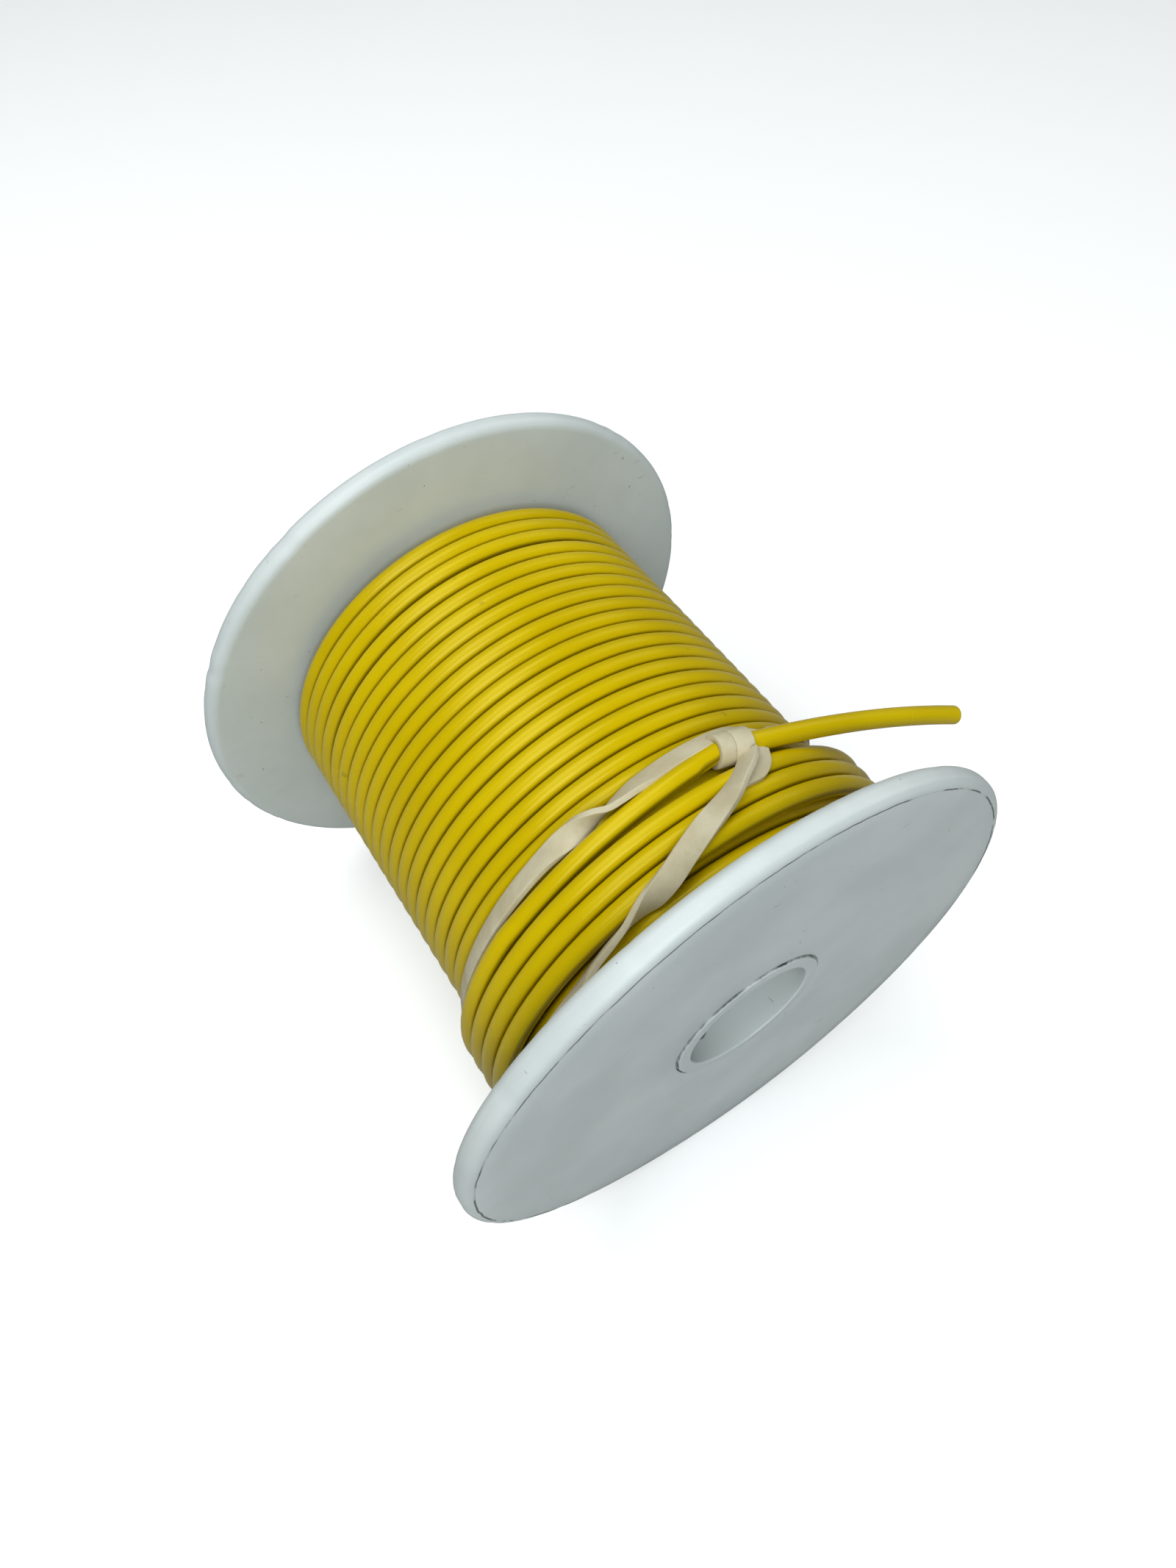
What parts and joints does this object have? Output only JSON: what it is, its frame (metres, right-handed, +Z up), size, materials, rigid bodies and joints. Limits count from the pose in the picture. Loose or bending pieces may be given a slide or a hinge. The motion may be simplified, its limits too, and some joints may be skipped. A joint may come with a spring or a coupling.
{
  "type": "wire spool",
  "caption": "Flanged plastic spool with a through bore, wound full of insulated hook-up wire whose free end bends and is held by a rubber band.",
  "frame": {"origin": "middle of the bore, half way between the two flanges", "axes": "+Y along the bore from the front flange to the rear flange, +Z up with the spool lying on its two rims"},
  "size_m": [0.0895, 0.0816, 0.0888],
  "materials": {
    "white_plastic": "semi-gloss moulded polyethylene, faintly mottled",
    "yellow_jacket": "glossy extruded PVC",
    "copper": "bright drawn copper, cut end",
    "band_rubber": "matt natural rubber"
  },
  "bodies": {
    "spool": {"front_flange": "white_plastic", "rear_flange": "white_plastic", "core_tube": "white_plastic", "winding_barrel": "white_plastic", "wire_start": "yellow_jacket", "wire_start_strands": "copper", "wire_layer_1": "yellow_jacket", "wire_layer_2": "yellow_jacket", "wire_layer_3": "yellow_jacket", "wire_layer_4": "yellow_jacket", "wire_layer_5": "yellow_jacket", "wire_layer_6": "yellow_jacket", "wire_top_layer": "yellow_jacket", "rubber_band": "band_rubber"},
    "wire_end_1": {"free_end_1": "yellow_jacket"},
    "wire_end_2": {"free_end_2": "yellow_jacket"},
    "wire_end_3": {"free_end_3": "yellow_jacket"},
    "wire_end_4": {"free_end_4": "yellow_jacket"},
    "wire_end_5": {"free_end_5": "yellow_jacket", "centre_strand": "copper", "inner_strands": "copper", "outer_strands": "copper"}
  },
  "joints": [
    {"name": "free_end_lift", "type": "hinge", "parent": "spool", "child": "wire_end_1", "pos_m": [0.01201, -0.02086, 0.03182], "axis": [-0.0906, -0.9613, 0.2604], "range_deg": [-2, 24]},
    {"name": "free_end_swing", "type": "hinge", "parent": "wire_end_1", "child": "wire_end_2", "pos_m": [0.01872, -0.02195, 0.03015], "axis": [0.2935, 0.224, 0.9293], "range_deg": [-11, 18]},
    {"name": "free_end_lift_middle", "type": "hinge", "parent": "wire_end_2", "child": "wire_end_3", "pos_m": [0.02533, -0.02311, 0.02816], "axis": [-0.0906, -0.9613, 0.2604], "range_deg": [-2, 24]},
    {"name": "free_end_swing_outer", "type": "hinge", "parent": "wire_end_3", "child": "wire_end_4", "pos_m": [0.03182, -0.02434, 0.02586], "axis": [0.3833, 0.2076, 0.9], "range_deg": [-11, 18]},
    {"name": "free_end_lift_tip", "type": "hinge", "parent": "wire_end_4", "child": "wire_end_5", "pos_m": [0.03819, -0.02565, 0.02327], "axis": [-0.0906, -0.9613, 0.2604], "range_deg": [-2, 24]}
  ],
  "couplings": [
    {"joint": "free_end_lift_middle", "follows": "free_end_lift", "ratio": 1},
    {"joint": "free_end_swing_outer", "follows": "free_end_swing", "ratio": 1},
    {"joint": "free_end_lift_tip", "follows": "free_end_lift", "ratio": 1}
  ]
}
